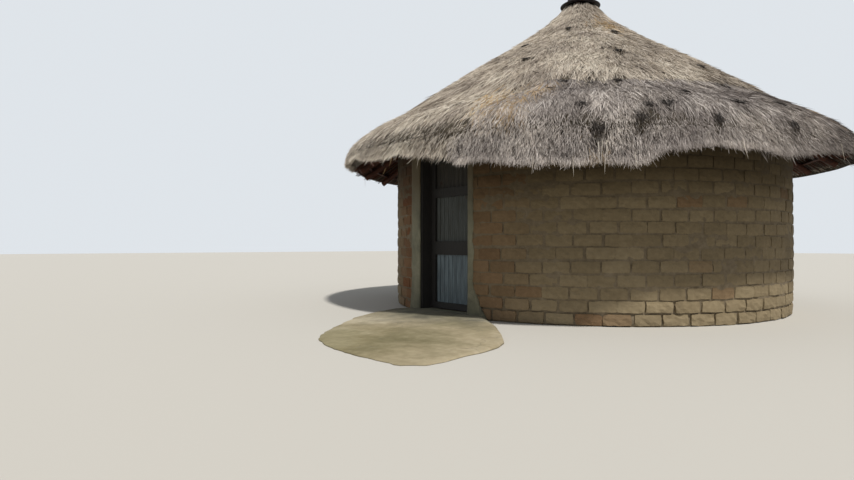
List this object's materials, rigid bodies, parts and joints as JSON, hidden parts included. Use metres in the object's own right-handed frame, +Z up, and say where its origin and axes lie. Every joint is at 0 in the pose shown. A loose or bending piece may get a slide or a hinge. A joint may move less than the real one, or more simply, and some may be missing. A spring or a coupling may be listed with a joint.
{
  "type": "rondavel hut",
  "caption": "Round brick hut with a conical thatched roof on pole rafters, a corrugated iron door in a timber frame and a cement apron at the doorway.",
  "frame": {"origin": "centre of the round room on the ground, on the underside of the floor", "axes": "+Z up, the doorway faces -Y"},
  "size_m": [6.8767, 8.2156, 4.54],
  "materials": {
    "mud_brick": "matte",
    "cement": "matte",
    "earth_floor": "matte",
    "thatch": "matte",
    "old_thatch": "matte",
    "pole": "matte",
    "dark_timber": "matte",
    "corrugated_iron": "satin",
    "dark_iron": "matte"
  },
  "bodies": {
    "hut": {"wall_1": "mud_brick", "wall_2": "mud_brick", "wall_3": "mud_brick", "wall_4": "mud_brick", "wall_5": "mud_brick", "wall_6": "mud_brick", "wall_7": "mud_brick", "wall_8": "mud_brick", "wall_over_door": "mud_brick", "room_floor": "earth_floor", "threshold": "cement", "apron": "cement", "left_plaster": "cement", "right_plaster": "cement", "left_post": "dark_timber", "right_post": "dark_timber", "frame_head": "dark_timber", "frame_hinges": "dark_iron", "wall_plate": "pole", "long_rafters": "pole", "short_rafters": "pole", "roof_hoops": "pole", "apex_post": "pole", "thatch_front_left": "thatch", "thatch_front_right": "thatch", "thatch_back_left": "thatch", "thatch_back_right": "thatch", "second_layer": "old_thatch", "front_lobe": "old_thatch", "straw_collar": "thatch", "apex_basin": "dark_iron"},
    "door": {"left_stile": "dark_timber", "right_stile": "dark_timber", "bottom_rail": "dark_timber", "middle_rail": "dark_timber", "upper_rail": "dark_timber", "top_rail": "dark_timber", "lower_sheet": "corrugated_iron", "middle_sheet": "corrugated_iron", "upper_sheet": "corrugated_iron", "leaf_hinges": "dark_iron"}
  },
  "joints": [
    {"name": "door_hinge", "type": "hinge", "parent": "hut", "child": "door", "pos_m": [-0.435, -2.447, 1], "axis": [0, 0, 1], "range_deg": [0, 95]}
  ]
}
